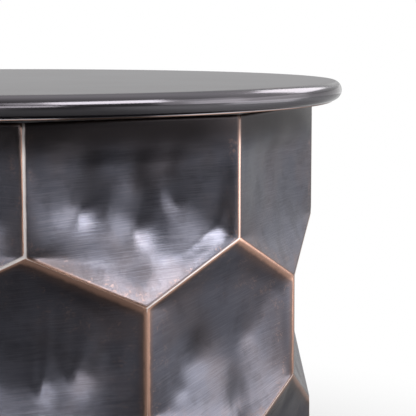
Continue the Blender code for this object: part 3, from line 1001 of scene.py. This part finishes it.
print("lid profile:", len(lid_profile()), "points")

# %% [markdown]
# ## Patina of the lid
#
# The lid has the wall's patina in a smoother satin: duller on the flat top, a little paler on the lower
# half of the edge as a painted sheen, and brown along the lip. It is told by height alone, with a slow
# change of tone.

# %% Lid finish
EDGE_MIDDLE = (TABLE_HEIGHT + CORE_BOTTOM) / 2
LID_COOL = colour(0.096, 0.092, 0.103)
LID_WARM = colour(0.109, 0.100, 0.108)
# painted sheen on the lower half of the lid's edge
LID_LOWER_SHEEN = colour(0.165, 0.160, 0.174)
LID_CLOUD_SCALE = 9.0
LID_FINE_SCALE = 260.0
# where the painted sheen starts and where it is full, below the middle of the edge
SHEEN_BELOW_MIDDLE = (0.001, -0.004)
BROWN_ABOVE_LIP = (0.0012, 0.0006)
DULL_BELOW_TOP = (0.0012, 0.0001)
LID_SATIN = 0.17
TOP_DULLING = 0.12


def lid_finish():
    """Satin patina, with a painted sheen on the lower half of the edge and brown on the lower lip."""
    finish = new_finish("lid_patina", {"Metallic": 1.0, "Specular Tint": grey(0.56)})
    place = finish.place()
    height = finish.parts(place)[2]
    clouds = finish.noise(place, LID_CLOUD_SCALE, 3.0, 0.5)
    fine = finish.noise(place, LID_FINE_SCALE, 2.0, 0.5)
    base = finish.blend(clouds, LID_COOL, LID_WARM)
    # painted sheen on the lower half of the edge
    lower_sheen = (height - EDGE_MIDDLE).step(*SHEEN_BELOW_MIDDLE)
    base = finish.blend(lower_sheen, base, LID_LOWER_SHEEN)
    lip = (height - LIP_BOTTOM).step(*BROWN_ABOVE_LIP)
    base = finish.blend(lip, base, BROWN)
    finish.feed(finish.shader.inputs["Base Color"], base)
    top = (TABLE_HEIGHT - height).step(*DULL_BELOW_TOP)
    rough = LID_SATIN + top * TOP_DULLING + (clouds - 0.5) * 0.05 + (fine - 0.5) * 0.015
    finish.feed(finish.shader.inputs["Roughness"], rough)
    return finish


lid_skin = mesh_piece("wrapped_lid_skin", spun(lid_profile(), LID_STEPS), lid_finish(), LID_SHARP)
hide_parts("lid_skin")
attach(lid_skin, "lid")
print("lid skin:", len(lid_skin.data.polygons), "faces")

# %% [markdown]
# ## Dressing the hidden parts
#
# With the lid off, the inside shows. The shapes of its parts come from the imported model, so they only
# need finishes, which reach a part through the material slot of its object.

# %% Dressing
def dress(names, finish):
    """Put one finish on every named part."""
    for name in names:
        mesh = nodes[name].data
        mesh.materials.clear()
        mesh.materials.append(finish.owner)


def named(start):
    """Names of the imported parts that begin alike."""
    return sorted(name for name in nodes if name.startswith(start))


battens = named("lid_batten")
screws = named("batten_screw")
glides = named("glide")
print("to dress:", len(battens), "battens,", len(screws), "screws,", len(glides), "glides")

# %% [markdown]
# ## Fibreboard
#
# The floor and the lid's core are fibreboard, which is felted flecks of wood. A picture of it could be
# wrapped over the disc, but noise at the scale of the real flecks, in the object's own metres, has no
# seams.

# %% Fibreboard
FLECK_SCALE = 900.0
BOARD_TONE_SCALE = 18.0
BOARD_DARK = colour(0.33, 0.215, 0.130)
BOARD_PALE = colour(0.38, 0.255, 0.160)
FLECK_PALE = colour(0.46, 0.33, 0.22)
FLECK_DARK = colour(0.21, 0.13, 0.075)
FLECK_HEIGHT = 0.00012


def fibreboard_finish():
    """Pressed wood fibre: short felted flecks over a slow change of tone."""
    finish = new_finish("fibreboard", {"Specular IOR Level": 0.25})
    place = finish.place()
    flecks = finish.noise(place, FLECK_SCALE, 4.0, 0.7, 0.6)
    slow = finish.noise(place, BOARD_TONE_SCALE, 3.0, 0.5)
    base = finish.blend(slow.step(0.35, 0.65), BOARD_DARK, BOARD_PALE)
    base = finish.blend(flecks.step(0.52, 0.70) * 0.5, base, FLECK_PALE)
    base = finish.blend(flecks.step(0.46, 0.32) * 0.5, base, FLECK_DARK)
    finish.feed(finish.shader.inputs["Base Color"], base)
    finish.feed(finish.shader.inputs["Roughness"], 0.78 + (flecks - 0.5) * 0.2)
    finish.feed(finish.shader.inputs["Normal"], finish.bump(flecks, FLECK_HEIGHT))
    return finish


dress(["lid_core", "floor_board"], fibreboard_finish())
print("fibreboard: lid core and floor board")

# %% [markdown]
# ## Black iron
#
# Blackened iron hoops stiffen the drum at its mouth and its foot. Mill scale lies on the bar in patches,
# so one noise sets the patches and a finer one the grain, and both also roughen the surface.

# %% Black iron
MILL_SCALE = 70.0
GRAIN_SCALE = 700.0
IRON_BLACK = colour(0.060, 0.060, 0.066)
IRON_WARM = colour(0.100, 0.092, 0.088)
IRON_BROWN = colour(0.150, 0.098, 0.070)
IRON_HEIGHT = 0.00015


def black_iron_finish():
    """Blackened bar: mill scale in patches, a little brown where it has rubbed."""
    finish = new_finish("black_iron", {"Metallic": 1.0})
    place = finish.place()
    scale = finish.noise(place, MILL_SCALE, 4.0, 0.6, 0.4)
    grains = finish.noise(place, GRAIN_SCALE, 2.0, 0.5)
    base = finish.blend(scale.step(0.40, 0.62), IRON_BLACK, IRON_WARM)
    base = finish.blend(scale.step(0.62, 0.70) * 0.6, base, IRON_BROWN)
    finish.feed(finish.shader.inputs["Base Color"], base)
    finish.feed(finish.shader.inputs["Roughness"], 0.48 + (scale - 0.5) * 0.5 + (grains - 0.5) * 0.15)
    finish.feed(finish.shader.inputs["Normal"], finish.bump(grains + scale, IRON_HEIGHT))
    return finish


dress(["top_hoop", "base_hoop"], black_iron_finish())
print("black iron: both hoops")

# %% [markdown]
# ## Screws and glides
#
# The battens under the lid are held by zinc-plated screws, and the drum stands on five nylon glides. Such
# small hardware needs only one fine noise each.

# %% Zinc and nylon
CAST_SCALE = 350.0
SPARK_SCALE = 2200.0
ZINC_GREY = colour(0.55, 0.56, 0.58)
ZINC_YELLOW = colour(0.58, 0.53, 0.40)
NYLON_DARK = colour(0.020, 0.020, 0.021)
NYLON_PALE = colour(0.040, 0.040, 0.042)
SPARK_HEIGHT = 0.00008


def zinc_finish():
    """Zinc plate: pale grey with a faint yellow cast in patches."""
    finish = new_finish("zinc_plate", {"Metallic": 1.0})
    cast = finish.noise(finish.place(), CAST_SCALE, 3.0, 0.6)
    base = finish.blend(cast.step(0.40, 0.66), ZINC_GREY, ZINC_YELLOW)
    finish.feed(finish.shader.inputs["Base Color"], base)
    finish.feed(finish.shader.inputs["Roughness"], 0.30 + (cast - 0.5) * 0.3)
    return finish


def nylon_finish():
    """Moulded black nylon with a fine spark texture."""
    finish = new_finish("black_nylon", {"Specular IOR Level": 0.4})
    spark = finish.noise(finish.place(), SPARK_SCALE, 2.0, 0.5)
    base = finish.blend(spark, NYLON_DARK, NYLON_PALE)
    finish.feed(finish.shader.inputs["Base Color"], base)
    finish.feed(finish.shader.inputs["Roughness"], 0.42 + (spark - 0.5) * 0.3)
    finish.feed(finish.shader.inputs["Normal"], finish.bump(spark, SPARK_HEIGHT))
    return finish


dress(screws, zinc_finish())
dress(glides, nylon_finish())
print("zinc:", len(screws), "screws, nylon:", len(glides), "glides")

# %% [markdown]
# ## Battens
#
# Five hardwood battens under the lid drop into the drum's mouth. Sawn wood needs three noises, stretched
# along the grain: a slow bend, the year rings and the pores. The battens differ only in the turn of their
# grain, so each has its own finish.

# %% Hardwood
BEND_SCALES = (40.0, 6.0, 40.0)
YEAR_SCALES = (420.0, 9.0, 420.0)
PORE_SCALES = (2600.0, 110.0, 2600.0)
WOOD_PALE = colour(0.46, 0.295, 0.160)
WOOD_WARM = colour(0.36, 0.215, 0.105)
WOOD_YEAR = colour(0.25, 0.135, 0.060)
WOOD_PORE = colour(0.14, 0.075, 0.035)
GRAIN_HEIGHT = 0.00012


def hardwood_finish(name, turn):
    """Sawn hardwood with its grain along a batten: rings from the place across it, bent by slow noise."""
    finish = new_finish(name, {"Specular IOR Level": 0.3})
    turned = finish.node("Mapping", {}, {"Vector": finish.place(), "Rotation": (0.0, 0.0, -turn)})
    bend = finish.noise(finish.scaled(turned, BEND_SCALES), 1.0, 3.0, 0.5)
    rings = finish.noise(finish.scaled(turned, YEAR_SCALES), 1.0, 3.0, 0.6, 0.8)
    pores = finish.noise(finish.scaled(turned, PORE_SCALES), 1.0, 2.0, 0.5)
    base = finish.blend(bend.step(0.35, 0.68), WOOD_PALE, WOOD_WARM)
    base = finish.blend(rings.step(0.50, 0.72) * 0.6, base, WOOD_YEAR)
    base = finish.blend(pores.step(0.60, 0.72) * 0.5, base, WOOD_PORE)
    finish.feed(finish.shader.inputs["Base Color"], base)
    finish.feed(finish.shader.inputs["Roughness"], 0.55 + (rings - 0.5) * 0.25)
    finish.feed(finish.shader.inputs["Normal"], finish.bump(rings - pores * 0.6, GRAIN_HEIGHT))
    return finish


for count, name in enumerate(battens):
    dress([name], hardwood_finish(f"hardwood_{count + 1}", 2 * math.pi * count / len(battens)))
print("hardwood:", len(battens), "battens")
